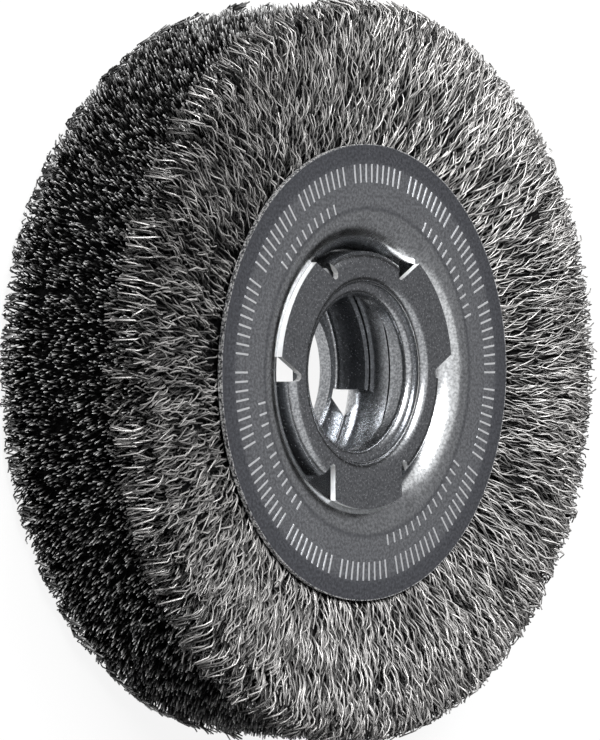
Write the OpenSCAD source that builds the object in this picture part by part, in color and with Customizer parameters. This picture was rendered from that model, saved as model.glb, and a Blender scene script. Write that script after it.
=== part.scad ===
// Wide face crimped wire wheel brush with pressed steel face plates and two
// bore adapters. The wheel lies on its side: its axis is Z, and the origin is
// the centre of the wheel, halfway between the two plates.

/* [Wire fill] */
// Diameter over the longest wire tips
brush_d = 153; // [146:0.5:162]
// Width over the wire sides, where the fill is widest
face_w = 40; // [36:0.5:42]
// Number of wire tufts round one layer of tips
tufts = 60; // [40:4:80]
// Depth of the gaps between neighbouring tufts
tuft_depth = 4; // [1:0.5:6]
// How much shorter the shortest tufts are than the longest
tuft_ragged = 1.4; // [0:0.1:2]
// Radius lost by the tips at the very edge of the rounded shoulder
shoulder_drop = 4; // [1:0.5:7]
// Width of the rounded shoulder, measured along the axis
shoulder_w = 7; // [3:0.5:10]
// Diameter where the sloping side of the fill reaches its full width
crown_d = 126; // [114:1:130]
// Depth of the radial furrows at both of their ends
furrow_depth = 0.7; // [0.3:0.1:1.2]
// Half width of a furrow for each millimetre of its depth
furrow_flare = 0.8; // [0.4:0.1:1]

/* [Face plates] */
// Diameter of each face plate
plate_d = 94; // [86:1:100]
// Thickness of the plate sheet
plate_t = 1; // [0.6:0.1:1.4]
// Distance between the outer faces of the two plates
hub_w = 30; // [28:0.5:33]
// Diameter of the hub opening inside the collars
hub_d = 50.8; // [49:0.1:52]
// Radius of the bend from the plate into its collar
dish_r = 7.6; // [6:0.1:9]
// Gap between the two collars at the middle of the wheel
collar_gap = 0.4; // [0.1:0.1:1]

/* [Spacer sleeve] */
// Wall of the sleeve that carries the wire sections
sleeve_t = 2; // [1.5:0.1:2.5]
// Length of the sleeve
sleeve_len = 15.6; // [12:0.2:16]
// Gap between the collars and the sleeve that they are pressed into
sleeve_fit = 0.05; // [0.02:0.01:0.1]

/* [Core rings] */
// Thickness of the round steel ring inside each wire section
ring_wire_d = 3.2; // [2.4:0.1:3.8]
// Thickness of the wire loops that pass inside each ring
loop_t = 0.8; // [0.5:0.1:1.2]
// Gap between a ring and the loops round it
ring_clear = 0.1; // [0.05:0.05:0.2]
// Gap between the sleeve and the loops
fill_clear = 0.2; // [0.1:0.05:0.4]

/* [Bore adapters] */
// Diameter of the arbor bore in each adapter
bore_d = 32; // [30:0.1:33]
// Thickness of the adapter sheet
adapter_t = 1.25; // [1:0.05:1.5]
// Length of the straight wall of the bore collar
bore_len = 2.3; // [2:0.1:5]
// Outer radius of the bend at the mouth of the bore
mouth_r = 1.6; // [1.5:0.05:2]
// Width of the flat shelf round the mouth of the bore
shelf_w = 0.8; // [0.4:0.1:1.5]
// Drop from the flat of the adapter to the shelf
shelf_drop = 2.2; // [1.8:0.1:2.6]
// Diameter over the three tabs that hang over the plate
tab_d = 56.4; // [54:0.1:58]
// Width of each tab
tab_w = 22; // [16:0.5:24]
// Gap between the tabs and the bend of the plate
tab_clear = 0.05; // [0.02:0.01:0.2]
// Depth of the skirts, from the flat of the adapter
skirt_h = 9.2; // [6:0.1:11]
// Outer radius of the bend from the flat into a skirt
skirt_bend_r = 2.3; // [1.6:0.1:3]
// Gap between the skirts and the collar of the plate
skirt_clear = 0.3; // [0.1:0.05:0.6]
// Angle that each of the three skirts spans
skirt_span = 52.6; // [46:0.2:54]
// Diameter of the relief holes between tabs and skirts
relief_d = 1.5; // [1:0.1:1.8]
// Turn of the front adapter in its hub
front_turn = 0.7; // [-60:0.1:60]
// Turn of the rear adapter in its hub
rear_turn = -13; // [-60:0.1:60]

/* [Hidden] */
$fn = 96;

// Room that a cutter needs past the surface it cuts
over = 1;

// Plates, from their outer faces inwards
plate_r = plate_d / 2;
plate_z = hub_w / 2;
plate_back_z = plate_z - plate_t;
hub_r = hub_d / 2;
dish_start_r = hub_r + dish_r;
dish_z = plate_z - dish_r;

// Sleeve round the two collars
sleeve_in_r = hub_r + plate_t + sleeve_fit;
sleeve_out_r = sleeve_in_r + sleeve_t;

// Wire sections: four of equal width at the hub, and the outer two fan out
sections = 4;
section_w = 2 * plate_back_z / sections;
fill_in_r = sleeve_out_r + fill_clear;
fill_side_z = face_w / 2;
brush_r = brush_d / 2;
layers_inner = 2;
layers_outer = 4;
// Room between the edge of a plate and the wires that rise beside it
edge_clear = 0.3;
// Height at which the fill leaves the edge of the plate
side_foot_z = plate_z - 0.2;
crown_r = crown_d / 2;
// Gap between the wires and the back of the plate's bend
bend_clear = 0.1;

// Radius inside which the side of the fill is one body, under all tuft gaps
tuft_foot_r = tip_r(fill_side_z) - tuft_depth - edge_clear;
furrow_end_r = tuft_foot_r - 1;

// Core rings
ring_r = fill_in_r + loop_t + ring_clear + ring_wire_d / 2;

// Adapters, with heights taken from their own flat face
tab_r = tab_d / 2;
skirt_r = hub_r - skirt_clear;
skirt_bend_at = skirt_r - skirt_bend_r;
tab_seat_z = dish_z + sqrt(pow(dish_r, 2) - pow(dish_start_r - tab_r, 2));
adapter_z = tab_seat_z + tab_clear + adapter_t;
bore_r = bore_d / 2;
mouth_at = bore_r + mouth_r;
shelf_r = mouth_at + shelf_w;
shoulder_at = shelf_r + shelf_drop;
bore_low = -shelf_drop - mouth_r - bore_len;
// Radius where the notches between tabs and skirts end, inside the skirt's bend
notch_root_r = skirt_bend_at - 0.2;
tab_half_angle = asin(tab_w / 2 / notch_root_r);
skirt_half_angle = skirt_span / 2;
relief_angle = (tab_half_angle + 60 - skirt_half_angle) / 2;

// One quarter of a bent sheet, in the corner that lies at +X and +Y
module bend_quarter(outer_r, sheet) {
    intersection() {
        difference() {
            circle(r = outer_r);
            circle(r = outer_r - sheet);
        }
        square(outer_r);
    }
}

// A rectangle between two radii and two heights
module band(r_low, r_high, z_low, z_high) {
    translate([r_low, z_low])
        square([r_high - r_low, z_high - z_low]);
}

// Face plate: a flat disc that bends into a collar towards the wheel's middle
module face_plate() {
    rotate_extrude()
        union() {
            band(dish_start_r, plate_r, plate_back_z, plate_z);
            translate([dish_start_r, dish_z])
                mirror([1, 0])
                    bend_quarter(dish_r, plate_t);
            band(hub_r, hub_r + plate_t, collar_gap / 2, dish_z);
        }
}

module front_face_plate() {
    color("gainsboro")
        face_plate();
}

module rear_face_plate() {
    color("gainsboro")
        mirror([0, 0, 1])
            face_plate();
}

// Sleeve: the tube that both collars are pressed into
module spacer_sleeve() {
    color("darkgray")
        translate([0, 0, -sleeve_len / 2])
            difference() {
                cylinder(h = sleeve_len, r = sleeve_out_r);
                translate([0, 0, -over])
                    cylinder(h = sleeve_len + 2 * over, r = sleeve_in_r);
            }
}

// Radius of the longest tips at height z, with round shoulders on both sides
function tip_r(z) =
    let (into = max(0, abs(z) - (fill_side_z - shoulder_w)) / shoulder_w)
    brush_r - shoulder_drop * (1 - sqrt(max(0, 1 - pow(into, 2))));

// Outline of one layer of tufts, with a sharp tip and a gap for each tuft
function tuft_outline(reach, seed) =
    let (short = rands(0, tuft_ragged, tufts, seed), pitch = 360 / tufts)
    [
        for (i = [0 : tufts - 1])
            let (own = i % (tufts / 4) == 0 ? 0 : short[i])
            for (side = [0, 1])
                let (r = side == 0 ? reach - own : reach - tuft_depth)
                let (a = (i + side / 2) * pitch)
                [r * cos(a), r * sin(a)]
    ];

// One flat ring of tufts from z_low to z_high, open inside hole_r. Layers with an
// odd seed are turned by half a tuft, so that tips lie over the gaps below them
module tuft_layer(z_low, z_high, hole_r, seed) {
    height = z_high - z_low;
    turn = seed % 2 * 180 / tufts;
    translate([0, 0, z_low])
        difference() {
            rotate([0, 0, turn])
                linear_extrude(height)
                    polygon(tuft_outline(tip_r(z_low + height / 2), seed));
            translate([0, 0, -over])
                cylinder(h = height + 2 * over, r = hole_r);
        }
}

// A stack of tuft layers, all open inside the same radius
module tuft_stack(z_low, z_high, layers, hole_r, seed) {
    step = (z_high - z_low) / layers;
    for (i = [0 : layers - 1])
        tuft_layer(z_low + i * step, z_low + (i + 1) * step, hole_r, seed + i);
}

// Round ring of wire_d at height z, for a core ring or the channel it lies in
module ring_shape(wire_d, z) {
    rotate_extrude()
        translate([ring_r, z])
            circle(d = wire_d);
}

// Radial V furrows in the side of the fill, each cut by one straight wedge that
// rises from beside the plate to the foot of the tufts
module side_furrows() {
    start_r = plate_r + 2 * edge_clear;
    length = norm([furrow_end_r - start_r, fill_side_z - side_foot_z]);
    tilt = atan((fill_side_z - side_foot_z) / (furrow_end_r - start_r));
    height = furrow_depth + fill_side_z - side_foot_z;
    half = height * furrow_flare;
    for (i = [0 : tufts - 1])
        rotate([0, 0, (i + 0.5) * 360 / tufts])
            translate([start_r, 0, side_foot_z - furrow_depth])
                rotate([0, -tilt, 0])
                    rotate([90, 0, 90])
                        linear_extrude(length)
                            polygon([[-half, height], [0, 0], [half, height]]);
}

// Height of the back of the plate's bend at radius r, less a gap to the wires
function under_bend_z(r) =
    dish_z + sqrt(pow(dish_r - plate_t, 2) - pow(dish_start_r - r, 2)) - bend_clear;

// Round body of an outer section: from the sleeve, under the plate and its
// bend, up the slope beside the plate and across the flat crown to the tufts
module outer_body() {
    bend_points = 4;
    bend_step = (dish_start_r - fill_in_r) / bend_points;
    rotate_extrude()
        difference() {
            polygon([
                for (i = [0 : bend_points - 1])
                    let (r = fill_in_r + i * bend_step)
                    [r, under_bend_z(r)],
                [dish_start_r, plate_back_z],
                [plate_r + edge_clear, plate_back_z],
                [plate_r + edge_clear, side_foot_z],
                [crown_r, fill_side_z],
                [tuft_foot_r, fill_side_z],
                [tuft_foot_r, section_w],
                [fill_in_r, section_w]
            ]);
            translate([ring_r, section_w * 1.5])
                circle(d = ring_wire_d + 2 * ring_clear);
        }
}

// Inner wire section, flat on both sides
module inner_section(seed) {
    difference() {
        tuft_stack(0, section_w, layers_inner, fill_in_r, seed);
        ring_shape(ring_wire_d + 2 * ring_clear, section_w / 2);
    }
}

// Outer wire section, which fans out past the plate to the full width
module outer_section(seed) {
    difference() {
        outer_body();
        side_furrows();
    }
    tuft_stack(section_w, fill_side_z, layers_outer, tuft_foot_r, seed);
}

module wire_section_1() {
    color("slategray")
        outer_section(10);
}

module wire_section_2() {
    color("dimgray")
        inner_section(20);
}

module wire_section_3() {
    color("dimgray")
        mirror([0, 0, 1])
            inner_section(31);
}

module wire_section_4() {
    color("slategray")
        mirror([0, 0, 1])
            outer_section(40);
}

module core_ring_1() {
    color("darkgray")
        ring_shape(ring_wire_d, section_w * 1.5);
}

module core_ring_2() {
    color("darkgray")
        ring_shape(ring_wire_d, section_w / 2);
}

module core_ring_3() {
    color("darkgray")
        ring_shape(ring_wire_d, -section_w / 2);
}

module core_ring_4() {
    color("darkgray")
        ring_shape(ring_wire_d, -section_w * 1.5);
}

// Adapter as it leaves the press: bore collar, mouth, shelf, step, flat ring
// and a skirt that still runs all the way round
module adapter_cup() {
    rotate_extrude()
        union() {
            band(shoulder_at, skirt_bend_at, -adapter_t, 0);
            translate([shoulder_at, -shelf_drop])
                mirror([1, 0])
                    bend_quarter(shelf_drop, adapter_t);
            band(mouth_at, shelf_r + adapter_t, -shelf_drop - adapter_t, -shelf_drop);
            translate([mouth_at, -shelf_drop - mouth_r])
                mirror([1, 0])
                    bend_quarter(mouth_r, adapter_t);
            band(bore_r, bore_r + adapter_t, bore_low, -shelf_drop - mouth_r);
            translate([skirt_bend_at, -skirt_bend_r])
                bend_quarter(skirt_bend_r, adapter_t);
            band(skirt_r - adapter_t, skirt_r, -skirt_h, -skirt_bend_r);
        }
}

// Window between two skirts, centred on X, where the sheet is left for a tab
module skirt_window() {
    half = 60 - skirt_half_angle;
    reach = 2 * skirt_r;
    translate([0, 0, -skirt_h - over])
        linear_extrude(skirt_h + 2 * over)
            difference() {
                polygon([[0, 0], reach * [cos(half), -sin(half)], reach * [cos(half), sin(half)]]);
                circle(r = notch_root_r);
            }
}

// One tab, centred on X, with straight sides and a round end
module adapter_tab() {
    translate([0, 0, -adapter_t])
        linear_extrude(adapter_t)
            intersection() {
                difference() {
                    circle(r = tab_r);
                    circle(r = (shoulder_at + notch_root_r) / 2);
                }
                translate([0, -tab_w / 2])
                    square([tab_r, tab_w]);
            }
}

// Whole adapter with its flat face at z = 0 and its first tab on X
module adapter() {
    difference() {
        union() {
            difference() {
                adapter_cup();
                for (a = [0 : 120 : 240])
                    rotate([0, 0, a])
                        skirt_window();
            }
            for (a = [0 : 120 : 240])
                rotate([0, 0, a])
                    adapter_tab();
        }
        for (a = [0 : 120 : 240], side = [-1, 1])
            rotate([0, 0, a + side * relief_angle])
                translate([notch_root_r, 0, -skirt_bend_r])
                    cylinder(h = skirt_bend_r + over, d = relief_d);
    }
}

module front_bore_adapter() {
    color("silver")
        translate([0, 0, adapter_z])
            rotate([0, 0, 30 + front_turn])
                adapter();
}

module rear_bore_adapter() {
    color("silver")
        rotate([180, 0, 0])
            translate([0, 0, adapter_z])
                rotate([0, 0, 30 - rear_turn])
                    adapter();
}

front_face_plate();
rear_face_plate();
spacer_sleeve();
wire_section_1();
wire_section_2();
wire_section_3();
wire_section_4();
core_ring_1();
core_ring_2();
core_ring_3();
core_ring_4();
front_bore_adapter();
rear_bore_adapter();
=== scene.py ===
# %% [markdown]
# # A wide face crimped wire wheel brush
#
# The wheel is a thick disc of wavy steel wire between two pressed steel plates. The CAD frame already
# gives the plates, the bore adapters and the sleeve their true shape. Blender adds the wires, which no
# solid can show, and the finish of each metal. The CAD's box is kept, so that it can be compared with
# the dressed wheel at the end.

import math

import bpy
from mathutils import Matrix, Vector


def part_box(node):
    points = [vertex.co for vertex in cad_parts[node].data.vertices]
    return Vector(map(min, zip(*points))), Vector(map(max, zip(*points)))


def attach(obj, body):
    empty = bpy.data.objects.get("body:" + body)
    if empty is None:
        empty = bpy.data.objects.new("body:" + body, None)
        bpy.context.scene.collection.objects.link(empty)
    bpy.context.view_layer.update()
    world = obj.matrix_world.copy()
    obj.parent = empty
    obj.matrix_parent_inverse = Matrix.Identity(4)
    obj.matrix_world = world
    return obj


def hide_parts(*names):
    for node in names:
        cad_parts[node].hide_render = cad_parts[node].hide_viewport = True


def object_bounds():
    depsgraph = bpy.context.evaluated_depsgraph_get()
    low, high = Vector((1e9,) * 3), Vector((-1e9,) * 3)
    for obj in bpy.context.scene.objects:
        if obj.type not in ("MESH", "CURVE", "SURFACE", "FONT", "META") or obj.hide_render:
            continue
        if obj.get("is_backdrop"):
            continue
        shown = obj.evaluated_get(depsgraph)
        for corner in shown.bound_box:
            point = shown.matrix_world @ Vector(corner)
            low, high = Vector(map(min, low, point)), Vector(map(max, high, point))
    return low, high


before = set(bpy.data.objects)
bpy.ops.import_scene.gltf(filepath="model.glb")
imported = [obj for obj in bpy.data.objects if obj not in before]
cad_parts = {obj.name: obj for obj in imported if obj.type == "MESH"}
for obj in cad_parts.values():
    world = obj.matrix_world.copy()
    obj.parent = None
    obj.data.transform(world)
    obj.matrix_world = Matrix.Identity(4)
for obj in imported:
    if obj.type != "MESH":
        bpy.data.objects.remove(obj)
cad_low, cad_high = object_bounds()
mm = 0.001
print("CAD box in mm:", [round(v / mm, 1) for v in cad_high - cad_low])

# %% [markdown]
# ## Camera
#
# The picture shows the wheel from one side with its axis almost level, and in this frame the wheel lies
# on its rear side with the axis upright. So the camera stands to the side, looks down at the wheel and
# is rolled by a quarter turn. The rims of the plate and of both bore mouths gave the angles. The axes of
# the wheel are worked out as the camera sees them, and a matrix then turns them into the camera's own.

# %% Camera
swing = math.radians(50.488)
nod = math.radians(-0.505)
plate_centre = Vector((0, 0, 15 * mm))
centre_in_view = Vector((14.51, -0.492, -806.07)) * mm
picture_height = 740
focal_pixels = 3914

axis_seen = Vector((math.sin(swing) * math.cos(nod), math.sin(nod), math.cos(swing) * math.cos(nod)))
across_seen = Vector((0, 1, 0)).cross(axis_seen).normalized()
along_seen = axis_seen.cross(across_seen)
turn = Matrix((across_seen, along_seen, axis_seen))

camera = bpy.data.objects.new("camera", bpy.data.cameras.new("camera"))
bpy.context.scene.collection.objects.link(camera)
camera.data.sensor_width = 36
camera.data.lens = focal_pixels * camera.data.sensor_width / picture_height
camera.data.clip_start = 0.05
camera.matrix_world = Matrix.Translation(plate_centre - turn @ centre_in_view) @ turn.to_4x4()
bpy.context.scene.camera = camera
print("camera at", [round(v, 3) for v in camera.matrix_world.translation])

# %% [markdown]
# ## Helpers
#
# One helper adds a node to any tree, sets its properties and feeds its inputs. An input may be a plain
# value, a socket, or another node, whose first live output is then used. Colours are written as sRGB hex
# values, as a colour picker shows them, and one function turns them to the linear values of the shaders.

# %% Helpers
def put(tree, kind, inputs=None, **settings):
    node = tree.nodes.new(kind)
    for name, value in settings.items():
        setattr(node, name, value)
    live = [socket for socket in node.inputs if socket.enabled]
    for name, value in (inputs or {}).items():
        socket = live[name] if isinstance(name, int) else next(s for s in live if s.name == name)
        if isinstance(value, bpy.types.Node):
            value = next(s for s in value.outputs if s.enabled)
        if isinstance(value, bpy.types.NodeSocket):
            tree.links.new(value, socket)
        else:
            socket.default_value = value
    return node


def linear(hex_colour):
    parts = [int(hex_colour[i : i + 2], 16) / 255 for i in (1, 3, 5)]
    return [c / 12.92 if c <= 0.04045 else ((c + 0.055) / 1.055) ** 2.4 for c in parts] + [1]


def new_material(name):
    material = bpy.data.materials.new(name)
    material.use_nodes = True
    tree = material.node_tree
    return material, tree, tree.nodes["Principled BSDF"]


print("mid grey is", round(linear("#808080")[0], 3), "in linear light")

# %% [markdown]
# ## Studio
#
# A pale floor carries the wheel. To the camera its material is mostly plain white light, so the ground
# of the picture is white, and the rest is a matte surface that keeps the wheel's soft shadow. The world
# is white to the camera and to reflections, and dimmer as a light.

# %% Floor and world
floor_half = 4.0
floor_z = cad_low.z
floor_mesh = bpy.data.meshes.new("floor")
floor_mesh.from_pydata(
    [(-floor_half, -floor_half, floor_z), (floor_half, -floor_half, floor_z),
     (floor_half, floor_half, floor_z), (-floor_half, floor_half, floor_z)],
    [], [(0, 1, 2, 3)])
floor = bpy.data.objects.new("floor", floor_mesh)
bpy.context.scene.collection.objects.link(floor)
floor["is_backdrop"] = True

floor_paint, tree, surface = new_material("matte white studio floor")
surface.inputs["Base Color"].default_value = linear("#e9e9e9")
surface.inputs["Roughness"].default_value = 1.0
surface.inputs["Specular IOR Level"].default_value = 0.0
path = put(tree, "ShaderNodeLightPath")
shown = put(tree, "ShaderNodeMath",
            {0: path.outputs["Is Camera Ray"], 1: path.outputs["Is Transmission Ray"]}, operation="MAXIMUM")
shown = put(tree, "ShaderNodeMath", {0: shown, 1: path.outputs["Is Glossy Ray"]}, operation="MAXIMUM")
share = put(tree, "ShaderNodeMath", {0: shown, 1: 0.9}, operation="MULTIPLY")
glow = put(tree, "ShaderNodeEmission", {"Color": (1, 1, 1, 1), "Strength": 1.0})
blend = put(tree, "ShaderNodeMixShader", {0: share, 1: surface.outputs["BSDF"], 2: glow})
tree.links.new(blend.outputs["Shader"], tree.nodes["Material Output"].inputs["Surface"])
floor.data.materials.append(floor_paint)

world = bpy.data.worlds.new("white studio")
world.use_nodes = True
bpy.context.scene.world = world
tree = world.node_tree
path = put(tree, "ShaderNodeLightPath")
seen = put(tree, "ShaderNodeMath",
           {0: path.outputs["Is Camera Ray"], 1: path.outputs["Is Transmission Ray"]}, operation="MAXIMUM")
seen = put(tree, "ShaderNodeMath", {0: seen, 1: path.outputs["Is Glossy Ray"]}, operation="MAXIMUM")
level = put(tree, "ShaderNodeMapRange", {"Value": seen, "To Min": 0.12, "To Max": 1.0})
tree.links.new(level.outputs[0], tree.nodes["Background"].inputs["Strength"])
tree.nodes["Background"].inputs["Color"].default_value = (1, 1, 1, 1)
bpy.context.scene.view_settings.view_transform = "Standard"
print("floor at", round(floor_z / mm, 2), "mm")

# %% [markdown]
# ## Lamps and cards
#
# Polished metal shows what stands round it more than the lamps themselves. A small soft box draws the
# white highlight in the dish, and a larger one beside it lights the wires. A grey card stands where the
# flat of the plate mirrors it, so the plate reads as grey metal. A ring of black cloth round the wheel
# opens like a bowl, and its reflection keeps the rim of the brush dark. The camera sees none of them.

# %% Lamps and cards
def aim(thing, direction, distance):
    spot = plate_centre + direction.normalized() * distance
    thing.matrix_world = Matrix.Translation(spot) @ direction.to_track_quat("Z", "Y").to_matrix().to_4x4()


def soft_box(name, direction, distance, size, watts):
    lamp = bpy.data.lights.new(name, "AREA")
    lamp.shape = "DISK"
    lamp.size = size
    lamp.energy = watts
    holder = bpy.data.objects.new(name, lamp)
    bpy.context.scene.collection.objects.link(holder)
    holder.visible_camera = False
    aim(holder, direction, distance)


def card(name, direction, distance, width, height, hex_colour):
    mesh = bpy.data.meshes.new(name)
    x, y = width / 2, height / 2
    mesh.from_pydata([(-x, -y, 0), (x, -y, 0), (x, y, 0), (-x, y, 0)], [], [(0, 1, 2, 3)])
    sheet = bpy.data.objects.new(name, mesh)
    bpy.context.scene.collection.objects.link(sheet)
    paint, tree, surface = new_material(name + " board")
    even_light = put(tree, "ShaderNodeEmission", {"Color": linear(hex_colour), "Strength": 1.0})
    tree.links.new(even_light.outputs[0], tree.nodes["Material Output"].inputs["Surface"])
    mesh.materials.append(paint)
    sheet.visible_camera = False
    sheet.visible_shadow = False
    sheet.visible_diffuse = False
    aim(sheet, direction, distance)
    sheet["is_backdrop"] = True
    return sheet


soft_box("dish light", Vector((-0.23, 0.58, 0.77)), 0.9, 0.4, 6)
soft_box("top light", Vector((-0.45, 0.5, 0.74)), 1.3, 0.6, 41)
card("plate card", Vector((0.7715, 0, 0.636)), 0.8, 1.9, 0.9, "#8c8c8e")

flag_in_r = 0.085
flag_out_r = 0.55
flag_foot_z = floor_z + 0.001
flag_rise = 0.28
flag_steps = 36
flag_mesh = bpy.data.meshes.new("rim flag")
corners = []
for step in range(flag_steps + 1):
    angle = 2 * math.pi * step / flag_steps
    for r, z in ((flag_in_r, flag_foot_z), (flag_out_r, floor_z + flag_rise)):
        corners.append((r * math.cos(angle), r * math.sin(angle), z))
flag_mesh.from_pydata(corners, [], [(2 * i, 2 * i + 1, 2 * i + 3, 2 * i + 2) for i in range(flag_steps)])
flag = bpy.data.objects.new("rim flag", flag_mesh)
bpy.context.scene.collection.objects.link(flag)
flag_cloth, tree, surface = new_material("black flag cloth")
surface.inputs["Base Color"].default_value = linear("#0c0c0c")
surface.inputs["Roughness"].default_value = 1.0
surface.inputs["Specular IOR Level"].default_value = 0.0
flag_mesh.materials.append(flag_cloth)
flag.visible_camera = False
flag.visible_shadow = False
flag.visible_diffuse = False
flag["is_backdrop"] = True

# A small card between the top light and the wheel lays a soft shadow on the side beside the rim.
shade = card("shade", Vector((-0.185, 0.165, 0.26)), 0.36, 0.11, 0.11, "#000000")
shade.visible_shadow = True
shade.visible_glossy = False

# %% [markdown]
# ## Zinc plated pressed steel
#
# The plates are stamped from bright sheet and plated. Plating gives a cool grey metal with a fine grain
# and soft blotches a few millimetres wide, which are rougher in some places than in others. The colour is
# lighter in a ring round the dish, and a thin dark line marks where the dish starts. The flat is darker
# towards the rim. The rim's cut edge is painted bright, as a painted highlight, with dark notches.

# %% Plate finish
plate_steel, tree, surface = new_material("zinc plated pressed steel")
surface.inputs["Metallic"].default_value = 1.0
place = put(tree, "ShaderNodeTexCoord").outputs["Object"]
flat = put(tree, "ShaderNodeVectorMath", {0: place, 1: (1, 1, 0)}, operation="MULTIPLY")
distance = put(tree, "ShaderNodeVectorMath", {0: flat}, operation="LENGTH").outputs["Value"]
outward = put(tree, "ShaderNodeMapRange", {"Value": distance, "From Min": 0.0, "From Max": 50 * mm})
# Lighter in a ring round the dish, a thin dark line where it starts, and darker towards the rim.
bands = put(tree, "ShaderNodeValToRGB", {"Fac": outward})
band_stops = [(0.0, "#a4a6a9"), (0.515, "#a4a6a9"), (0.55, "#c8cacc"), (0.66, "#c8cacc"),
              (0.675, "#9c9ea2"), (0.69, "#c2c4c7"), (0.84, "#b9bbbf"), (0.87, "#94969c"), (1.0, "#8c8e94")]
bands.color_ramp.elements[0].color = linear(band_stops[0][1])
bands.color_ramp.elements[1].color = linear(band_stops[-1][1])
for spot, colour in band_stops[1:-1]:
    bands.color_ramp.elements.new(spot).color = linear(colour)
speck = put(tree, "ShaderNodeTexNoise", {"Vector": place, "Scale": 1 / (0.6 * mm), "Detail": 3.0})
speckled = put(tree, "ShaderNodeMapRange", {"Value": speck.outputs[0], "From Min": 0.35, "From Max": 0.65,
                                            "To Min": 0.65, "To Max": 1.2})
tint = put(tree, "ShaderNodeVectorMath", {"Vector": bands, "Scale": speckled}, operation="SCALE")
# Painted highlight: the rim's cut edge is mixed towards near white, with dark notches.
cut_edge = put(tree, "ShaderNodeMapRange",
               {"Value": distance, "From Min": 46.7 * mm, "From Max": 46.95 * mm})
notches = put(tree, "ShaderNodeTexNoise", {"Vector": place, "Scale": 1 / (0.5 * mm), "Detail": 1.0})
notches = put(tree, "ShaderNodeMapRange", {"Value": notches.outputs[0], "From Min": 0.4, "From Max": 0.6})
sheared_edge_highlight = put(tree, "ShaderNodeMix", {"Factor": notches, "A": linear("#55565a"),
                                      "B": linear("#f4f4f4")}, data_type="RGBA")
tint = put(tree, "ShaderNodeMix", {"Factor": cut_edge, "A": tint, "B": sheared_edge_highlight}, data_type="RGBA")
tree.links.new(next(o for o in tint.outputs if o.enabled), surface.inputs["Base Color"])
blotch = put(tree, "ShaderNodeTexNoise", {"Vector": place, "Scale": 1 / (6 * mm), "Detail": 5.0,
                                          "Roughness": 0.6})
rough = put(tree, "ShaderNodeMapRange", {"Value": blotch.outputs[0], "From Min": 0.3, "From Max": 0.7,
                                         "To Min": 0.16, "To Max": 0.28})
rough = put(tree, "ShaderNodeMix", {"Factor": cut_edge, "A": rough, "B": 0.6}, data_type="FLOAT")
tree.links.new(next(o for o in rough.outputs if o.enabled), surface.inputs["Roughness"])
print("plate finish:", len(tree.nodes), "nodes")

# %% [markdown]
# The adapter's flats are dull and grainy from the deep press stroke. The cut edges of its three tabs are
# painted bright, as a painted highlight. They are found by height and by a normal that lies level,
# because nothing else up there is upright.

# %% Adapter finish
adapter_steel, tree, surface = new_material("zinc plated drawn steel")
surface.inputs["Metallic"].default_value = 1.0
coordinates = put(tree, "ShaderNodeTexCoord").outputs
place = coordinates["Object"]
speck = put(tree, "ShaderNodeTexNoise", {"Vector": place, "Scale": 1 / (0.5 * mm), "Detail": 3.0})
speckled = put(tree, "ShaderNodeMapRange", {"Value": speck.outputs[0], "From Min": 0.35, "From Max": 0.65})
tint = put(tree, "ShaderNodeMix", {"Factor": speckled, "A": linear("#808285"),
                                   "B": linear("#b4b6b9")}, data_type="RGBA")
upright = put(tree, "ShaderNodeSeparateXYZ", {"Vector": coordinates["Normal"]}).outputs["Z"]
upright = put(tree, "ShaderNodeMath", {0: upright}, operation="ABSOLUTE")
level = put(tree, "ShaderNodeMath", {0: upright, 1: 0.4}, operation="LESS_THAN")
height = put(tree, "ShaderNodeSeparateXYZ", {"Vector": place}).outputs["Z"]
height = put(tree, "ShaderNodeMath", {0: height}, operation="ABSOLUTE")
high = put(tree, "ShaderNodeMath", {0: height, 1: 13.2 * mm}, operation="GREATER_THAN")
sheared_edge_highlight = put(tree, "ShaderNodeMath", {0: level, 1: high}, operation="MULTIPLY")
# Painted highlight: the tabs' edges are mixed to near white.
tint = put(tree, "ShaderNodeMix", {"Factor": sheared_edge_highlight, "A": tint, "B": linear("#f4f4f4")}, data_type="RGBA")
tree.links.new(next(o for o in tint.outputs if o.enabled), surface.inputs["Base Color"])
rough = put(tree, "ShaderNodeMapRange", {"Value": speck.outputs[0], "To Min": 0.22, "To Max": 0.3})
rough = put(tree, "ShaderNodeMix", {"Factor": sheared_edge_highlight, "A": rough, "B": 0.55}, data_type="FLOAT")
tree.links.new(next(o for o in rough.outputs if o.enabled), surface.inputs["Roughness"])
print("adapter finish:", len(tree.nodes), "nodes")

# %% [markdown]
# The sleeve and the core rings lie inside the wheel, so each has one plain finish of drawn steel. Then
# every piece that stays from the CAD gets its metal.

# %% Tube and rod finish
tube_steel, tree, surface = new_material("cold drawn steel tube")
surface.inputs["Metallic"].default_value = 1.0
surface.inputs["Roughness"].default_value = 0.32
surface.inputs["Base Color"].default_value = linear("#8d8f92")

rod_steel, tree, surface = new_material("cold drawn steel rod")
surface.inputs["Metallic"].default_value = 1.0
surface.inputs["Roughness"].default_value = 0.4
surface.inputs["Base Color"].default_value = linear("#9a9b9e")


def finish_node(node, material):
    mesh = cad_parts[node].data
    mesh.materials.clear()
    mesh.materials.append(material)


for side in ("front", "rear"):
    finish_node(side + "_face_plate", plate_steel)
    finish_node(side + "_bore_adapter", adapter_steel)
finish_node("spacer_sleeve", tube_steel)
for number in range(1, 5):
    finish_node(f"core_ring_{number}", rod_steel)
print("finished CAD nodes:", sum(1 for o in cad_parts.values() if o.data.materials))
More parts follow.
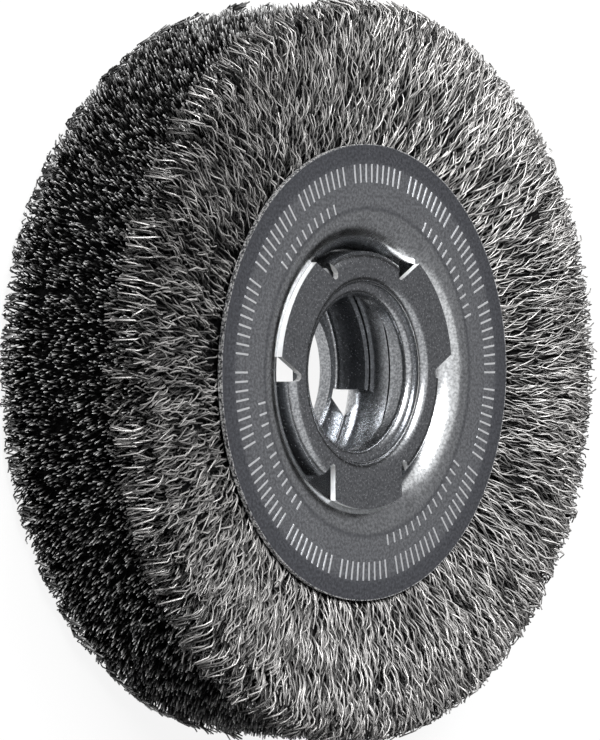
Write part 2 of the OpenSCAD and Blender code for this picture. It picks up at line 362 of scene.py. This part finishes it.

# %% [markdown]
# ## Wire finish
#
# The wire is drawn bright and then crimped. Each wire stores how far along it a point is, as an attribute
# named along, and how near the surface it lies, as a second attribute. The material reads both and paints
# light and shade into the wire's colour. The foot of a wire is painted dark, as painted shade deep in the
# brush. On the sides its free length is bright, and its end is painted a little darker, as painted shade.
# On the rim the shaft is painted dark, as painted shade behind its neighbours, and only the cut end is
# painted bright, as a painted highlight. A wire of a deeper layer is painted darker, as painted shade. The
# body under the wires stands for the thousands that lie deeper. It is painted nearly black, as painted
# shade, with a faint grain.

# %% Wire finish
def wire_finish(name, stops):
    material, tree, surface = new_material(name)
    surface.inputs["Metallic"].default_value = 0.4
    surface.inputs["Roughness"].default_value = 0.4
    along = put(tree, "ShaderNodeAttribute", attribute_name="along").outputs["Fac"]
    depth_shade = put(tree, "ShaderNodeAttribute", attribute_name="depth_shade").outputs["Fac"]
    # The ramp along a wire is painted shade at the foot. On the rim it is painted shade on the shaft and a
    # painted highlight at the cut end; on the sides the end is painted a little darker, as painted shade.
    ramp = put(tree, "ShaderNodeValToRGB", {"Fac": along})
    for element, (spot, colour) in zip(ramp.color_ramp.elements, (stops[0], stops[-1])):
        element.position = spot
        element.color = linear(colour)
    for spot, colour in stops[1:-1]:
        ramp.color_ramp.elements.new(spot).color = linear(colour)
    # Painted shade by depth: a deeper wire is mixed towards black.
    painted_depth_mix = put(tree, "ShaderNodeMix", {"Factor": depth_shade, "A": (0, 0, 0, 1), "B": ramp}, data_type="RGBA")
    tree.links.new(next(s for s in painted_depth_mix.outputs if s.enabled), surface.inputs["Base Color"])
    return material


wire_steel = wire_finish("crimped steel wire, painted shade at foot and depth",
                         [(0.0, "#050505"), (0.25, "#929190"), (0.6, "#e6e4e2"), (1.0, "#9a9897")])
cut_steel = wire_finish("bright drawn steel wire, cut to length",
                        [(0.0, "#030303"), (0.68, "#1c1c1c"), (0.84, "#a3a2a1"), (1.0, "#ffffff")])

# Painted shade: the body under the wires is nearly black, with a faint grain.
deep_wire_shade, tree, surface = new_material("painted shade of wire deep in the brush")
surface.inputs["Metallic"].default_value = 0.0
surface.inputs["Roughness"].default_value = 0.8
surface.inputs["Specular IOR Level"].default_value = 0.1
place = put(tree, "ShaderNodeTexCoord").outputs["Object"]
grain = put(tree, "ShaderNodeTexNoise", {"Vector": place, "Scale": 1 / (0.6 * mm), "Detail": 2.0})
tint = put(tree, "ShaderNodeMix", {"Factor": grain.outputs[0], "A": linear("#010101"),
                                   "B": linear("#0a0a0b")}, data_type="RGBA")
tree.links.new(next(s for s in tint.outputs if s.enabled), surface.inputs["Base Color"])
print("wire materials:", wire_steel.name, "and", deep_wire_shade.name)

# %% [markdown]
# ## The rule of one wire
#
# Every wire of the brush follows the same rule, so one tree makes them all. A straight line is doubled
# as often as there are wires, and each copy gets its own random values by its number: its place round
# the wheel, its height in the face, its foot and its length. From these come a point's distance from the
# axis and its height. A sine wave is the crimp, a lean turns the wire off the radius, and the nearest
# feature point of a Voronoi texture pulls the tips together in tufts, as crimped wires hook together.

# %% Wire tree
brush_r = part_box("wire_section_2")[1].x / mm
half_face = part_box("wire_section_1")[1].z / mm
plate_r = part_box("front_face_plate")[1].x / mm
half_at_plate = 14.8
full_width_r = 63.0
shoulder_drop = 4.0
shoulder_w = 7.0
longest_stray = 1.4
under_plate = 13.4
climb_w = 8.0
side_room = 0.1
print("brush radius", round(brush_r, 2), "half width", round(half_face, 2), "plate", round(plate_r, 2))

wires = bpy.data.node_groups.new("crimped wires", "GeometryNodeTree")
ask = wires.interface
sizes = {
    "Wires": ("NodeSocketInt", 2000),
    "Points": ("NodeSocketInt", 16),
    "Seed": ("NodeSocketInt", 1),
    "Lowest": ("NodeSocketFloat", -1.0),
    "Highest": ("NodeSocketFloat", 1.0),
    "Nearest foot": ("NodeSocketFloat", 70 * mm),
    "Farthest foot": ("NodeSocketFloat", 70 * mm),
    "Shortest": ("NodeSocketFloat", 20 * mm),
    "Longest": ("NodeSocketFloat", 20 * mm),
    "Dive": ("NodeSocketFloat", 0.0),
    "Lift": ("NodeSocketFloat", 0.0),
    "Sink": ("NodeSocketFloat", 0.0),
    "Bend over": ("NodeSocketFloat", 0.0),
    "Lean": ("NodeSocketFloat", 0.1),
    "Swirl": ("NodeSocketFloat", 0.5),
    "Crimp height": ("NodeSocketFloat", 0.5 * mm),
    "Crimp length": ("NodeSocketFloat", 4.6 * mm),
    "Tuft": ("NodeSocketFloat", 7 * mm),
    "Tuft pull round": ("NodeSocketFloat", 0.5),
    "Tuft pull across": ("NodeSocketFloat", 0.5),
    "Tuft gap": ("NodeSocketFloat", 2.5 * mm),
    "Ragged": ("NodeSocketFloat", 1.0 * mm),
    "Wire radius": ("NodeSocketFloat", 0.17 * mm),
    "Dullness": ("NodeSocketFloat", 3.0),
    "Material": ("NodeSocketMaterial", None),
}
for name, (kind, value) in sizes.items():
    socket = ask.new_socket(name, in_out="INPUT", socket_type=kind)
    if value is not None:
        socket.default_value = value
ask.new_socket("Geometry", in_out="OUTPUT", socket_type="NodeSocketGeometry")

given = put(wires, "NodeGroupInput").outputs
line = put(wires, "GeometryNodeCurvePrimitiveLine", {"End": (0, 0, 1)})
line = put(wires, "GeometryNodeResampleCurve", {"Curve": line, "Count": given["Points"]})
copies = put(wires, "GeometryNodeDuplicateElements", {"Geometry": line, "Amount": given["Wires"]},
             domain="SPLINE")
which = put(wires, "GeometryNodeCurveOfPoint").outputs["Curve Index"]
along = put(wires, "GeometryNodeSplineParameter").outputs["Factor"]

# %% [markdown]
# Random values come next. Each has its own seed, made from the tree's seed and a number of its own, so
# that a wire's height tells nothing about its place round the wheel.

# %% Random values of a wire
chances = {
    "round": (0.0, 2 * math.pi),
    "height": ("Lowest", "Highest"),
    "foot": ("Nearest foot", "Farthest foot"),
    "length": ("Shortest", "Longest"),
    "phase": (0.0, 2 * math.pi),
    "plane": (0.0, 2 * math.pi),
    "lean": (-1.0, 1.0),
    "curl": (-1.0, 1.0),
    "layer": (0.0, 1.0),
    "over": (-0.2, 1.0),
    "lift": (-1.0, 1.0),
    "stretch": (0.8, 1.25),
    "wave": (0.5, 1.2),
}
chance = {}
for number, (name, (low, high)) in enumerate(chances.items()):
    seed = put(wires, "ShaderNodeMath", {0: given["Seed"], 1: 13.0 * number}, operation="ADD")
    low = given[low] if isinstance(low, str) else low
    high = given[high] if isinstance(high, str) else high
    chance[name] = put(wires, "FunctionNodeRandomValue",
                       {"Min": low, "Max": high, "ID": which, "Seed": seed}, data_type="FLOAT")
print("random values of a wire:", len(chance))

# %% [markdown]
# The radius at the tip follows the rounded shoulder of the brush: full in the middle of the face, and
# smaller towards its sides on a quarter of an ellipse. Some wires bend over and reach a little past it,
# and wires of a deeper layer end short of it. A wire ends there, or where its own length runs out.

# %% Radii along a wire
tip_height = put(wires, "ShaderNodeMath", {0: chance["height"], 1: half_face * mm}, operation="MULTIPLY")
tip_height_off = put(wires, "ShaderNodeMath", {0: tip_height}, operation="ABSOLUTE")
on_shoulder = put(wires, "ShaderNodeMapRange",
                  {"Value": tip_height_off, "From Min": (half_face - shoulder_w) * mm,
                   "From Max": half_face * mm})
square = put(wires, "ShaderNodeMath", {0: on_shoulder, 1: 2.0}, operation="POWER")
left = put(wires, "ShaderNodeMath", {0: 1.0, 1: square}, operation="SUBTRACT")
curve = put(wires, "ShaderNodeMath", {0: left}, operation="SQRT")
end_r = put(wires, "ShaderNodeMath",
            {0: curve, 1: shoulder_drop * mm, 2: (brush_r - shoulder_drop) * mm}, operation="MULTIPLY_ADD")
over = put(wires, "ShaderNodeMath", {0: chance["over"], 1: given["Bend over"]}, operation="MULTIPLY")
end_r = put(wires, "ShaderNodeMath", {0: end_r, 1: over}, operation="ADD")
end_r = put(wires, "ShaderNodeMath", {0: end_r, 1: (brush_r + longest_stray) * mm}, operation="MINIMUM")
below = put(wires, "ShaderNodeMath", {0: 1.0, 1: chance["layer"]}, operation="SUBTRACT")
cut = put(wires, "ShaderNodeMath", {0: below, 1: given["Ragged"]}, operation="MULTIPLY")
end_r = put(wires, "ShaderNodeMath", {0: end_r, 1: cut}, operation="SUBTRACT")
grown_r = put(wires, "ShaderNodeMath", {0: chance["foot"], 1: chance["length"]}, operation="ADD")
end_r = put(wires, "ShaderNodeMath", {0: end_r, 1: grown_r}, operation="MINIMUM")

cosine = put(wires, "ShaderNodeMath", {0: chance["round"]}, operation="COSINE")
sine = put(wires, "ShaderNodeMath", {0: chance["round"]}, operation="SINE")
minus_sine = put(wires, "ShaderNodeMath", {0: sine, 1: -1.0}, operation="MULTIPLY")
outward = put(wires, "ShaderNodeCombineXYZ", {"X": cosine, "Y": sine})
sideways = put(wires, "ShaderNodeCombineXYZ", {"X": minus_sine, "Y": cosine})

# %% [markdown]
# The tuft that a wire belongs to is found at its tip. The way to the tuft's middle is split into a part
# round the wheel and a part across the face. Wires far from the middle are also shorter, which opens
# the gaps between the tufts.

# %% Tufts
tip = put(wires, "ShaderNodeVectorMath", {"Vector": outward, "Scale": end_r}, operation="SCALE")
tip_up = put(wires, "ShaderNodeCombineXYZ", {"Z": tip_height})
tip = put(wires, "ShaderNodeVectorMath", {0: tip, 1: tip_up}, operation="ADD")
cell = put(wires, "ShaderNodeMath", {0: 1.0, 1: given["Tuft"]}, operation="DIVIDE")
squeezed = put(wires, "ShaderNodeVectorMath", {0: tip, 1: (1, 1, 0.5)}, operation="MULTIPLY")
tuft = put(wires, "ShaderNodeTexVoronoi", {"Vector": squeezed, "Scale": cell})
way = put(wires, "ShaderNodeVectorMath", {0: tuft.outputs["Position"], 1: squeezed}, operation="SUBTRACT")
way_round = put(wires, "ShaderNodeVectorMath", {0: way, 1: sideways}, operation="DOT_PRODUCT")
way_round = way_round.outputs["Value"]
way_across = put(wires, "ShaderNodeSeparateXYZ", {"Vector": way}).outputs["Z"]
both = put(wires, "ShaderNodeCombineXYZ", {"X": way_round, "Y": way_across})
off = put(wires, "ShaderNodeVectorMath", {0: both}, operation="LENGTH").outputs["Value"]
off_share = put(wires, "ShaderNodeMath", {0: off, 1: cell}, operation="MULTIPLY")
shorter = put(wires, "ShaderNodeMapRange", {"Value": off_share, "From Min": 0.15, "From Max": 0.6,
                                            "To Min": 0.0, "To Max": given["Tuft gap"]})
end_r = put(wires, "ShaderNodeMath", {0: end_r, 1: shorter}, operation="SUBTRACT")
span = put(wires, "ShaderNodeMath", {0: end_r, 1: chance["foot"]}, operation="SUBTRACT")
run = put(wires, "ShaderNodeMath", {0: span, 1: along}, operation="MULTIPLY")
radius = put(wires, "ShaderNodeMath", {0: run, 1: chance["foot"]}, operation="ADD")
pull = put(wires, "ShaderNodeMath", {0: along, 1: along}, operation="MULTIPLY")

# %% [markdown]
# The face is narrow under the plates and widens outside them, so a wire lies the higher, the farther out
# its middle is. Over the shoulder a roof lowers it. Its foot dives below the side of the brush, and its
# tip may lift off it.

# %% Height along a wire
middle_r = put(wires, "ShaderNodeMath", {0: span, 1: 0.5, 2: chance["foot"]}, operation="MULTIPLY_ADD")
half_here = put(wires, "ShaderNodeMapRange",
                {"Value": middle_r, "From Min": plate_r * mm, "From Max": full_width_r * mm,
                 "To Min": half_at_plate * mm, "To Max": half_face * mm})
height = put(wires, "ShaderNodeMath", {0: half_here, 1: chance["height"]}, operation="MULTIPLY")
side_sign = put(wires, "ShaderNodeMath", {0: chance["height"]}, operation="SIGN")
past = put(wires, "ShaderNodeMapRange",
           {"Value": radius, "From Min": (brush_r - shoulder_drop) * mm, "From Max": brush_r * mm})
past = put(wires, "ShaderNodeMath", {0: past, 1: 2.0}, operation="POWER")
past = put(wires, "ShaderNodeMath", {0: 1.0, 1: past}, operation="SUBTRACT")
past = put(wires, "ShaderNodeMath", {0: past}, operation="SQRT")
roof = put(wires, "ShaderNodeMath",
           {0: past, 1: shoulder_w * mm, 2: (half_face - shoulder_w) * mm}, operation="MULTIPLY_ADD")
height = put(wires, "ShaderNodeMath", {0: height}, operation="ABSOLUTE")
height = put(wires, "ShaderNodeMath", {0: height, 1: roof}, operation="MINIMUM")
sink = put(wires, "ShaderNodeMath", {0: below, 1: given["Sink"]}, operation="MULTIPLY")
height = put(wires, "ShaderNodeMath", {0: height, 1: sink}, operation="SUBTRACT")
height = put(wires, "ShaderNodeMath", {0: height, 1: side_sign}, operation="MULTIPLY")
back = put(wires, "ShaderNodeMath", {0: 1.0, 1: along}, operation="SUBTRACT")
back = put(wires, "ShaderNodeMath", {0: back, 1: 4.0}, operation="POWER")
dive = put(wires, "ShaderNodeMath", {0: back, 1: given["Dive"]}, operation="MULTIPLY")
rise = put(wires, "ShaderNodeMath", {0: chance["lift"], 1: given["Lift"]}, operation="MULTIPLY")
rise = put(wires, "ShaderNodeMath", {0: rise, 1: pull}, operation="MULTIPLY")
rise = put(wires, "ShaderNodeMath", {0: rise, 1: dive}, operation="SUBTRACT")
rise = put(wires, "ShaderNodeMath", {0: rise, 1: side_sign}, operation="MULTIPLY")
pull_across = put(wires, "ShaderNodeMath", {0: way_across, 1: given["Tuft pull across"]},
                  operation="MULTIPLY")
height = put(wires, "ShaderNodeMath", {0: pull_across, 1: pull, 2: height}, operation="MULTIPLY_ADD")
height = put(wires, "ShaderNodeMath", {0: height, 1: rise}, operation="ADD")

# %% [markdown]
# The crimp is a sine wave in a random plane. Then the parts are added up: out along the radius,
# sideways by lean, curl, crimp and tuft, and up by height and crimp. A lid on the height keeps the wires
# under the plate, and lets them climb only slowly beyond its rim. A circle of three corners swept along
# the line is enough for a wire that is two pixels wide.

# %% Shape of a wire
wave_long = put(wires, "ShaderNodeMath", {0: given["Crimp length"], 1: chance["stretch"]},
                operation="MULTIPLY")
turns = put(wires, "ShaderNodeMath", {0: radius, 1: wave_long}, operation="DIVIDE")
angle = put(wires, "ShaderNodeMath", {0: turns, 1: 2 * math.pi, 2: chance["phase"]},
            operation="MULTIPLY_ADD")
wave = put(wires, "ShaderNodeMath", {0: angle}, operation="SINE")
wave = put(wires, "ShaderNodeMath", {0: wave, 1: given["Crimp height"]}, operation="MULTIPLY")
wave = put(wires, "ShaderNodeMath", {0: wave, 1: chance["wave"]}, operation="MULTIPLY")
wave_round = put(wires, "ShaderNodeMath", {0: chance["plane"]}, operation="COSINE")
wave_round = put(wires, "ShaderNodeMath", {0: wave_round, 1: wave}, operation="MULTIPLY")
wave_up = put(wires, "ShaderNodeMath", {0: chance["plane"]}, operation="SINE")
wave_up = put(wires, "ShaderNodeMath", {0: wave_up, 1: wave}, operation="MULTIPLY")

lean = put(wires, "ShaderNodeMath", {0: chance["lean"], 1: given["Lean"]}, operation="MULTIPLY")
curl = put(wires, "ShaderNodeMath", {0: chance["curl"], 1: given["Lean"]}, operation="MULTIPLY")
lean = put(wires, "ShaderNodeMath", {0: curl, 1: along, 2: lean}, operation="MULTIPLY_ADD")
drift = put(wires, "ShaderNodeTexNoise", {"Vector": tip, "Scale": 1 / (13 * mm), "Detail": 1.0})
drift = put(wires, "ShaderNodeMath", {0: drift, 1: 0.5}, operation="SUBTRACT")
lean = put(wires, "ShaderNodeMath", {0: drift, 1: given["Swirl"], 2: lean}, operation="MULTIPLY_ADD")
leaning = put(wires, "ShaderNodeMath", {0: lean, 1: run, 2: wave_round}, operation="MULTIPLY_ADD")
pull_round = put(wires, "ShaderNodeMath", {0: way_round, 1: given["Tuft pull round"]}, operation="MULTIPLY")
off_radius = put(wires, "ShaderNodeMath", {0: pull_round, 1: pull, 2: leaning}, operation="MULTIPLY_ADD")
height = put(wires, "ShaderNodeMath", {0: height, 1: wave_up}, operation="ADD")
lid = put(wires, "ShaderNodeMapRange", {"Value": radius, "From Min": plate_r * mm,
                                        "From Max": (plate_r + climb_w) * mm, "To Min": under_plate * mm,
                                        "To Max": (half_face - side_room) * mm})
height = put(wires, "ShaderNodeMath", {0: height, 1: side_sign}, operation="MULTIPLY")
height = put(wires, "ShaderNodeMath", {0: height, 1: lid}, operation="MINIMUM")
height = put(wires, "ShaderNodeMath", {0: height, 1: side_sign}, operation="MULTIPLY")

place = put(wires, "ShaderNodeVectorMath", {"Vector": outward, "Scale": radius}, operation="SCALE")
aside = put(wires, "ShaderNodeVectorMath", {"Vector": sideways, "Scale": off_radius}, operation="SCALE")
upward = put(wires, "ShaderNodeCombineXYZ", {"Z": height})
place = put(wires, "ShaderNodeVectorMath", {0: place, 1: aside}, operation="ADD")
place = put(wires, "ShaderNodeVectorMath", {0: place, 1: upward}, operation="ADD")

shaped = put(wires, "GeometryNodeSetPosition", {"Geometry": copies, "Position": place})
shaped = put(wires, "GeometryNodeStoreNamedAttribute",
             {"Geometry": shaped, "Name": "along", "Value": along}, data_type="FLOAT", domain="POINT")
# Painted shade by depth: a wire of a deeper layer gets a smaller value, and the material darkens it by that
# value.
depth_shade = put(wires, "ShaderNodeMath", {0: chance["layer"], 1: given["Dullness"]}, operation="POWER")
depth_shade = put(wires, "ShaderNodeMath", {0: depth_shade, 1: 0.97, 2: 0.03}, operation="MULTIPLY_ADD")
shaped = put(wires, "GeometryNodeStoreNamedAttribute",
             {"Geometry": shaped, "Name": "depth_shade", "Value": depth_shade}, data_type="FLOAT", domain="POINT")
ring = put(wires, "GeometryNodeCurvePrimitiveCircle",
           {"Resolution": 3, "Radius": given["Wire radius"]}, mode="RADIUS")
swept = put(wires, "GeometryNodeCurveToMesh", {"Curve": shaped, "Profile Curve": ring, "Fill Caps": True})
smooth = put(wires, "GeometryNodeSetShadeSmooth", {0: swept, "Shade Smooth": True})
real = put(wires, "GeometryNodeRealizeInstances", {"Geometry": smooth})
coated = put(wires, "GeometryNodeSetMaterial", {"Geometry": real, "Material": given["Material"]})
put(wires, "NodeGroupOutput", {"Geometry": coated})
print("wire tree:", len(wires.nodes), "nodes")

# %% [markdown]
# ## Growing the wires
#
# A modifier runs the tree on an empty mesh. Its inputs are set by their identifiers, the result is
# copied into a plain mesh, and the modifier goes. The front side is grown in four rings, from the plate
# out to the shoulder, because the camera sees it from near. The rear side needs two. The rim is grown in
# two halves, with short straight wires, because only their ends show.

# %% Grow wires
def grow(name, tree, **values):
    seed_mesh = bpy.data.meshes.new(name + " seed")
    piece = bpy.data.objects.new(name, seed_mesh)
    bpy.context.scene.collection.objects.link(piece)
    modifier = piece.modifiers.new("grow", "NODES")
    modifier.node_group = tree
    names = {item.name: item.identifier for item in tree.interface.items_tree
             if item.item_type == "SOCKET" and item.in_out == "INPUT"}
    for label, value in values.items():
        modifier[names[label.replace("_", " ")]] = value
    ready = bpy.context.evaluated_depsgraph_get()
    grown = bpy.data.meshes.new_from_object(piece.evaluated_get(ready))
    piece.modifiers.clear()
    piece.data = grown
    grown.name = name
    print(name, len(grown.polygons), "faces, box",
          [round(v / mm, 1) for v in piece.dimensions])
    return piece


side_wires = dict(
    Points=6, Dive=3.0 * mm, Lift=0.5 * mm, Sink=2.2 * mm, Bend_over=4.5 * mm, Lean=0.25, Swirl=0.7,
    Crimp_height=0.5 * mm, Crimp_length=6.0 * mm, Tuft=5 * mm, Tuft_pull_round=0.2, Tuft_pull_across=0.0,
    Tuft_gap=0.6 * mm, Ragged=1.0 * mm, Wire_radius=0.17 * mm, Material=wire_steel)
inner_stretch = dict(Nearest_foot=43 * mm, Farthest_foot=57 * mm, Shortest=5 * mm, Longest=8 * mm)
middle_stretch = dict(Nearest_foot=55 * mm, Farthest_foot=66 * mm, Shortest=6 * mm, Longest=8 * mm)
outer_stretch = dict(Nearest_foot=63 * mm, Farthest_foot=71 * mm, Shortest=6 * mm, Longest=9 * mm)
shoulder_stretch = dict(Nearest_foot=68 * mm, Farthest_foot=72.5 * mm, Shortest=6 * mm, Longest=9 * mm)
whole_stretch = dict(Nearest_foot=43 * mm, Farthest_foot=66 * mm, Shortest=7 * mm, Longest=11 * mm)
shoulder_tufts = dict(Tuft=6 * mm, Tuft_gap=2.5 * mm, Tuft_pull_round=0.2)
rim_wires = dict(
    Nearest_foot=71.4 * mm, Farthest_foot=72.4 * mm, Shortest=20 * mm, Longest=20 * mm,
    Dive=0.0, Lift=0.0, Sink=0.0, Bend_over=0.8 * mm, Lean=0.2, Swirl=0.6,
    Crimp_height=0.4 * mm, Crimp_length=4.6 * mm,
    Tuft=4 * mm, Tuft_pull_round=0.15, Tuft_pull_across=0.1, Tuft_gap=1.2 * mm, Ragged=1.4 * mm,
    Wire_radius=0.14 * mm, Material=cut_steel)

front_inner = grow("front_inner_wires", wires, Wires=4700, Seed=1, Lowest=0.93, Highest=0.995,
                   **side_wires, **inner_stretch)
front_middle = grow("front_middle_wires", wires, Wires=4700, Seed=2, Lowest=0.93, Highest=0.995,
                    **side_wires, **middle_stretch)
front_outer = grow("front_outer_wires", wires, Wires=4200, Seed=3, Lowest=0.92, Highest=0.995,
                   **{**side_wires, **shoulder_tufts}, **outer_stretch)
front_shoulder = grow("front_shoulder_wires", wires, Wires=5100, Seed=8, Lowest=0.5, Highest=0.9,
                      **{**side_wires, "Tuft_gap": 2 * mm, "Tuft_pull_round": 0.1, "Points": 5, "Sink": 0.0,
                         "Dive": 1.0 * mm, "Dullness": 1.8}, **shoulder_stretch)
rear_side = grow("rear_side_wires", wires, Wires=2700, Seed=6, Lowest=-0.995, Highest=-0.93,
                 **side_wires, **whole_stretch)
rear_outer = grow("rear_outer_wires", wires, Wires=4200, Seed=7, Lowest=-0.995, Highest=-0.8,
                  **{**side_wires, **shoulder_tufts, "Material": cut_steel, "Sink": 0.5 * mm},
                  **shoulder_stretch)
front_rim = grow("front_rim_wires", wires, Wires=12000, Points=2, Seed=4, Lowest=0.0, Highest=0.82,
                 **rim_wires)
rear_rim = grow("rear_rim_wires", wires, Wires=12000, Points=2, Seed=5, Lowest=-0.8, Highest=0.0,
                **rim_wires)

# %% [markdown]
# ## The body of the brush
#
# Under the wires that are drawn one by one lie many more. Four turned rings stand for them, one in each
# section, a few millimetres below the surface. They close the view into the brush and are painted nearly
# black, as painted shade.

# %% Turned bodies
def turned(name, profile, steps=180):
    mesh = bpy.data.meshes.new(name)
    points, faces, count = [], [], len(profile)
    for step in range(steps):
        angle = 2 * math.pi * step / steps
        points += [(r * math.cos(angle) * mm, r * math.sin(angle) * mm, z * mm) for r, z in profile]
    for step in range(steps):
        after = (step + 1) % steps
        for i in range(count):
            j = (i + 1) % count
            faces.append((step * count + i, after * count + i, after * count + j, step * count + j))
    mesh.from_pydata(points, [], faces)
    mesh.update()
    body = bpy.data.objects.new(name, mesh)
    bpy.context.scene.collection.objects.link(body)
    mesh.materials.append(deep_wire_shade)
    return body


section_w = 7.0
body_in_r = 29.0
body_r = 73.0
body_inner_half = 12.0
shoulder_curve = [(body_r, 11.0), (72.2, 13.6), (70.6, 15.8), (68.0, 17.2)]
side_slope = [(62.0, 17.2), (57.0, 15.6), (52.0, 13.4), (48.0, 12.2), (44.0, body_inner_half)]
outer_profile = ([(body_in_r, section_w), (body_r, section_w)] + shoulder_curve + side_slope
                 + [(body_in_r, body_inner_half)])
inner_profile = [(body_in_r, 0.0), (body_r, 0.0), (body_r, section_w), (body_in_r, section_w)]
bodies = {
    "wire_section_1": turned("front_outer_body", outer_profile),
    "wire_section_2": turned("front_inner_body", inner_profile),
    "wire_section_3": turned("rear_inner_body", [(r, -z) for r, z in reversed(inner_profile)]),
    "wire_section_4": turned("rear_outer_body", [(r, -z) for r, z in reversed(outer_profile)]),
}
print("turned bodies:", len(bodies))

# %% [markdown]
# Now the pieces take the place of the CAD's solids. Each turned body replaces its own section, and so do
# the wires of each side. The wires of a rim half replace both sections that they stand on.

# %% Set the wires on the wheel
for node, piece in bodies.items():
    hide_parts(node)
for piece in (front_inner, front_middle, front_outer, front_shoulder):
    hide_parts("wire_section_1")
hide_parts("wire_section_1", "wire_section_2")
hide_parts("wire_section_3", "wire_section_4")
for piece in (rear_side, rear_outer):
    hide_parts("wire_section_4")
added = list(bodies.values()) + [front_inner, front_middle, front_outer, front_shoulder,
                                 front_rim, rear_rim, rear_side, rear_outer]
for piece in added:
    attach(piece, "root")
print("triangles in the fill:", sum(len(p.vertices) - 2 for o in added for p in o.data.polygons))

# %% [markdown]
# ## Stamped marks
#
# The face of such a plate is stamped with fine marks. Here they are plain strokes in rings, with a gap
# after each group. A tree places one thin bar on each point of an arc and turns it along the radius. Half
# of its thickness stands out of the plate. The die has rubbed the plating there, so a stroke is rougher
# and catches more light than the flat round it.

# %% Mark tree
marks = bpy.data.node_groups.new("stamped marks", "GeometryNodeTree")
ask = marks.interface
for name, kind, value in (
        ("Strokes", "NodeSocketInt", 90), ("Group", "NodeSocketInt", 9),
        ("First angle", "NodeSocketFloat", 0.0), ("Step", "NodeSocketFloat", math.radians(4)),
        ("Radius", "NodeSocketFloat", 41 * mm), ("Length", "NodeSocketFloat", 2.6 * mm),
        ("Width", "NodeSocketFloat", 0.4 * mm), ("Thickness", "NodeSocketFloat", 0.08 * mm),
        ("Level", "NodeSocketFloat", 15 * mm)):
    ask.new_socket(name, in_out="INPUT", socket_type=kind).default_value = value
ask.new_socket("Material", in_out="INPUT", socket_type="NodeSocketMaterial")
ask.new_socket("Geometry", in_out="OUTPUT", socket_type="NodeSocketGeometry")
given = put(marks, "NodeGroupInput").outputs
number = put(marks, "GeometryNodeInputIndex")
gaps = put(marks, "ShaderNodeMath", {0: number, 1: given["Group"]}, operation="DIVIDE")
gaps = put(marks, "ShaderNodeMath", {0: gaps}, operation="FLOOR")
spot = put(marks, "ShaderNodeMath", {0: number, 1: gaps}, operation="ADD")
angle = put(marks, "ShaderNodeMath", {0: spot, 1: given["Step"], 2: given["First angle"]},
            operation="MULTIPLY_ADD")
cosine = put(marks, "ShaderNodeMath", {0: angle}, operation="COSINE")
sine = put(marks, "ShaderNodeMath", {0: angle}, operation="SINE")
ray = put(marks, "ShaderNodeCombineXYZ", {"X": cosine, "Y": sine})
place = put(marks, "ShaderNodeVectorMath", {"Vector": ray, "Scale": given["Radius"]}, operation="SCALE")
level = put(marks, "ShaderNodeCombineXYZ", {"Z": given["Level"]})
place = put(marks, "ShaderNodeVectorMath", {0: place, 1: level}, operation="ADD")
points = put(marks, "GeometryNodePoints", {"Count": given["Strokes"], "Position": place})
size = put(marks, "ShaderNodeCombineXYZ",
           {"X": given["Length"], "Y": given["Width"], "Z": given["Thickness"]})
bar = put(marks, "GeometryNodeMeshCube", {"Size": size})
facing = put(marks, "ShaderNodeCombineXYZ", {"Z": angle})
strokes = put(marks, "GeometryNodeInstanceOnPoints",
              {"Points": points, "Instance": bar, "Rotation": facing})
real = put(marks, "GeometryNodeRealizeInstances", {"Geometry": strokes})
coated = put(marks, "GeometryNodeSetMaterial", {"Geometry": real, "Material": given["Material"]})
put(marks, "NodeGroupOutput", {"Geometry": coated})

stamped_steel, tree, surface = new_material("steel rubbed bright by the stamping die")
surface.inputs["Metallic"].default_value = 1.0
surface.inputs["Roughness"].default_value = 0.55
surface.inputs["Base Color"].default_value = linear("#e2e3e5")

# %% Stamp the plate
plate_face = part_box("front_face_plate")[1].z
outer_groups = 14
outer_in_group = 9
outer_step = 2 * math.pi / (outer_groups * (outer_in_group + 1))
outer_ring = grow("outer_stamped_ring", marks, Strokes=outer_groups * outer_in_group, Group=outer_in_group,
                  Step=outer_step, Radius=41.0 * mm, Length=3.8 * mm, Level=plate_face,
                  Material=stamped_steel)

inner_groups = [(12, 20), (10, 110), (12, 190), (14, 280)]
inner_ring = []
for i, (count, first_degree) in enumerate(inner_groups):
    inner_ring.append(grow(
        f"inner_stamped_group_{i + 1}", marks, Strokes=count, Group=count,
        First_angle=math.radians(first_degree), Step=math.radians(3.6), Radius=35.2 * mm,
        Length=2.2 * mm, Level=plate_face, Material=stamped_steel))
for piece in [outer_ring] + inner_ring:
    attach(piece, "root")

# %% [markdown]
# ## Size of the dressed wheel
#
# The box of the dressed wheel is written next to the box of the CAD, so that the two can be compared.

# %% Sizes and finish
low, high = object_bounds()
print("scene box in mm:", [round(v / mm, 1) for v in high - low])
